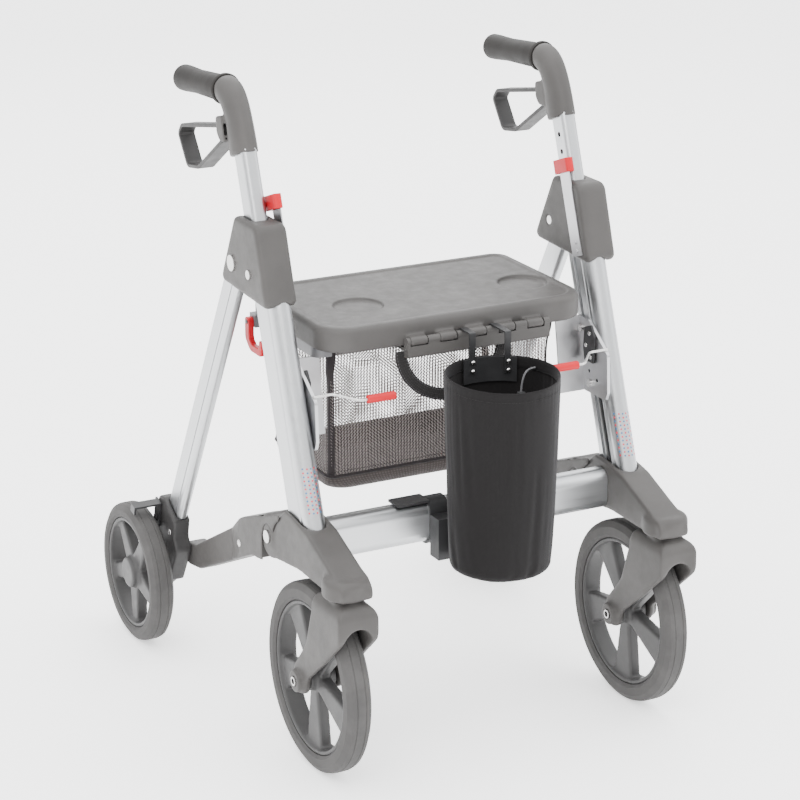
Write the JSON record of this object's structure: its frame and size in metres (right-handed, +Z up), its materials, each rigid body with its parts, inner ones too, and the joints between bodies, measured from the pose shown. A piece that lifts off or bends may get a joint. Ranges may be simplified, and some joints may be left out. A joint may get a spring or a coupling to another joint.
{
  "type": "rollator walker",
  "caption": "Folding rollator walker with caster front wheels, hinged seat over a mesh basket, looped brake levers, sliding handle posts and a hanging cylindrical bag.",
  "frame": {"origin": "middle of the wheel footprint on the floor", "axes": "+Z up, -Y forward (the way the walker rolls), +X to the left of the person walking behind it"},
  "size_m": [0.604, 0.716, 0.8583],
  "materials": {
    "satin_aluminium": "satin",
    "grey_plastic": "matte",
    "dark_plastic": "matte",
    "hub_plastic": "matte",
    "tyre": "matte",
    "grip_rubber": "matte",
    "red_plastic": "gloss",
    "steel": "brushed",
    "carrier_metal": "satin",
    "black_metal": "satin",
    "frame_metal": "satin",
    "mesh_fabric": "woven",
    "black_fabric": "woven",
    "black_plastic": "matte"
  },
  "bodies": {
    "frame": {"front_leg_right": "satin_aluminium", "front_leg_left": "satin_aluminium", "front_casting_right": "grey_plastic", "front_casting_left": "grey_plastic", "junction_cover_right": "grey_plastic", "junction_cover_left": "grey_plastic", "seat_carrier_right": "carrier_metal", "seat_carrier_left": "carrier_metal", "pivot_bolts": "steel", "carrier_screws": "steel", "cross_beam": "satin_aluminium", "hinge_rail": "grey_plastic", "seat_frame": "frame_metal", "basket": "mesh_fabric", "fold_strap": "black_fabric", "bag": "black_fabric", "bag_hanger": "black_metal", "bag_clamp": "black_plastic", "drawstring": "black_fabric", "cord_toggle": "grey_plastic"},
    "seat": {"seat_lid": "grey_plastic"},
    "frame_hook": {"frame_hook": "red_plastic"},
    "handle_right": {"post_right": "satin_aluminium", "handle_head_right": "grey_plastic", "grip_right": "grip_rubber"},
    "lever_right": {"brake_lever_right": "dark_plastic"},
    "rear_leg_right": {"rear_leg_right": "satin_aluminium", "rear_bracket_right": "dark_plastic", "rear_axle_right": "steel"},
    "rear_arm_right": {"rear_arm_right": "grey_plastic"},
    "shoe_right": {"brake_shoe_right": "black_metal"},
    "rear_wheel_right": {"rear_hub_right": "hub_plastic", "rear_tyre_right": "tyre"},
    "caster_right": {"caster_fork_right": "grey_plastic", "front_axle_right": "steel"},
    "front_wheel_right": {"front_hub_right": "hub_plastic", "front_tyre_right": "tyre"},
    "release_right": {"release_wire_right": "steel", "release_sleeve_right": "red_plastic"},
    "height_catch_right": {"catch_strip_right": "carrier_metal", "catch_cap_right": "red_plastic"},
    "handle_left": {"post_left": "satin_aluminium", "handle_head_left": "grey_plastic", "grip_left": "grip_rubber"},
    "lever_left": {"brake_lever_left": "dark_plastic"},
    "rear_leg_left": {"rear_leg_left": "satin_aluminium", "rear_bracket_left": "dark_plastic", "rear_axle_left": "steel"},
    "rear_arm_left": {"rear_arm_left": "grey_plastic"},
    "shoe_left": {"brake_shoe_left": "black_metal"},
    "rear_wheel_left": {"rear_hub_left": "hub_plastic", "rear_tyre_left": "tyre"},
    "caster_left": {"caster_fork_left": "grey_plastic", "front_axle_left": "steel"},
    "front_wheel_left": {"front_hub_left": "hub_plastic", "front_tyre_left": "tyre"},
    "release_left": {"release_wire_left": "steel", "release_sleeve_left": "red_plastic"},
    "height_catch_left": {"catch_strip_left": "carrier_metal", "catch_cap_left": "red_plastic"}
  },
  "joints": [
    {"name": "handle_height_right", "type": "slide", "parent": "frame", "child": "handle_right", "axis": [0, 0.3354, 0.9421], "range_m": [-0.05, 0.09]},
    {"name": "brake_pull_right", "type": "hinge", "parent": "handle_right", "child": "lever_right", "pos_m": [-0.238, 0.005, 0.788], "axis": [1, 0, 0], "range_deg": [0, 15], "stiffness_Nm_per_rad": 1, "springref_deg": -5.73},
    {"name": "rear_fold_right", "type": "hinge", "parent": "frame", "child": "rear_leg_right", "pos_m": [-0.245, -0.036, 0.626], "axis": [-1, 0, 0], "range_deg": [0, 24]},
    {"name": "arm_fold_right", "type": "hinge", "parent": "frame", "child": "rear_arm_right", "pos_m": [-0.23, -0.128, 0.283], "axis": [-1, 0, 0], "range_deg": [0, 38]},
    {"name": "shoe_press_right", "type": "hinge", "parent": "rear_leg_right", "child": "shoe_right", "pos_m": [-0.262, 0.23671, 0.18539], "axis": [1, 0, 0], "range_deg": [0, 10.5]},
    {"name": "rear_roll_right", "type": "hinge", "parent": "rear_leg_right", "child": "rear_wheel_right", "pos_m": [-0.285, 0.258, 0.1], "axis": [1, 0, 0], "continuous": true},
    {"name": "caster_swivel_right", "type": "hinge", "parent": "frame", "child": "caster_right", "pos_m": [-0.233, -0.313, 0.266], "axis": [0, 0, 1], "continuous": true},
    {"name": "front_roll_right", "type": "hinge", "parent": "caster_right", "child": "front_wheel_right", "pos_m": [-0.233, -0.233, 0.125], "axis": [1, 0, 0], "continuous": true},
    {"name": "release_lift_right", "type": "hinge", "parent": "frame", "child": "release_right", "pos_m": [-0.2, -0.188, 0.484], "axis": [-1, 0, 0], "range_deg": [0, 25], "stiffness_Nm_per_rad": 0.2, "springref_deg": -11.46},
    {"name": "catch_pull_right", "type": "hinge", "parent": "frame", "child": "height_catch_right", "pos_m": [-0.2117, -0.11162, 0.59334], "axis": [0, 0.9421, -0.3354], "range_deg": [0, 2.5], "stiffness_Nm_per_rad": 2, "springref_deg": -1.15},
    {"name": "handle_height_left", "type": "slide", "parent": "frame", "child": "handle_left", "axis": [0, 0.3354, 0.9421], "range_m": [-0.05, 0.09]},
    {"name": "brake_pull_left", "type": "hinge", "parent": "handle_left", "child": "lever_left", "pos_m": [0.238, 0.005, 0.788], "axis": [1, 0, 0], "range_deg": [0, 15], "stiffness_Nm_per_rad": 1, "springref_deg": -5.73},
    {"name": "rear_fold_left", "type": "hinge", "parent": "frame", "child": "rear_leg_left", "pos_m": [0.245, -0.036, 0.626], "axis": [-1, 0, 0], "range_deg": [0, 24]},
    {"name": "arm_fold_left", "type": "hinge", "parent": "frame", "child": "rear_arm_left", "pos_m": [0.23, -0.128, 0.283], "axis": [-1, 0, 0], "range_deg": [0, 38]},
    {"name": "shoe_press_left", "type": "hinge", "parent": "rear_leg_left", "child": "shoe_left", "pos_m": [0.262, 0.23671, 0.18539], "axis": [1, 0, 0], "range_deg": [0, 10.5]},
    {"name": "rear_roll_left", "type": "hinge", "parent": "rear_leg_left", "child": "rear_wheel_left", "pos_m": [0.285, 0.258, 0.1], "axis": [1, 0, 0], "continuous": true},
    {"name": "caster_swivel_left", "type": "hinge", "parent": "frame", "child": "caster_left", "pos_m": [0.233, -0.313, 0.266], "axis": [0, 0, 1], "continuous": true},
    {"name": "front_roll_left", "type": "hinge", "parent": "caster_left", "child": "front_wheel_left", "pos_m": [0.233, -0.233, 0.125], "axis": [1, 0, 0], "continuous": true},
    {"name": "release_lift_left", "type": "hinge", "parent": "frame", "child": "release_left", "pos_m": [0.2, -0.188, 0.484], "axis": [-1, 0, 0], "range_deg": [0, 25], "stiffness_Nm_per_rad": 0.2, "springref_deg": -11.46},
    {"name": "catch_pull_left", "type": "hinge", "parent": "frame", "child": "height_catch_left", "pos_m": [0.2117, -0.11162, 0.59334], "axis": [0, -0.9421, 0.3354], "range_deg": [0, 2.5], "stiffness_Nm_per_rad": 2, "springref_deg": -1.15},
    {"name": "seat_lift", "type": "hinge", "parent": "frame", "child": "seat", "pos_m": [0, -0.191, 0.538], "axis": [1, 0, 0], "range_deg": [0, 88]},
    {"name": "hook_swing", "type": "hinge", "parent": "frame", "child": "frame_hook", "pos_m": [-0.1995, 0.042, 0.519], "axis": [1, 0, 0], "range_deg": [0, 45]}
  ],
  "couplings": [
    {"joint": "arm_fold_right", "follows": "rear_fold_right", "ratio": 1.56},
    {"joint": "shoe_press_right", "follows": "brake_pull_right", "ratio": 0.6667},
    {"joint": "arm_fold_left", "follows": "rear_fold_left", "ratio": 1.56},
    {"joint": "shoe_press_left", "follows": "brake_pull_left", "ratio": 0.6667}
  ]
}
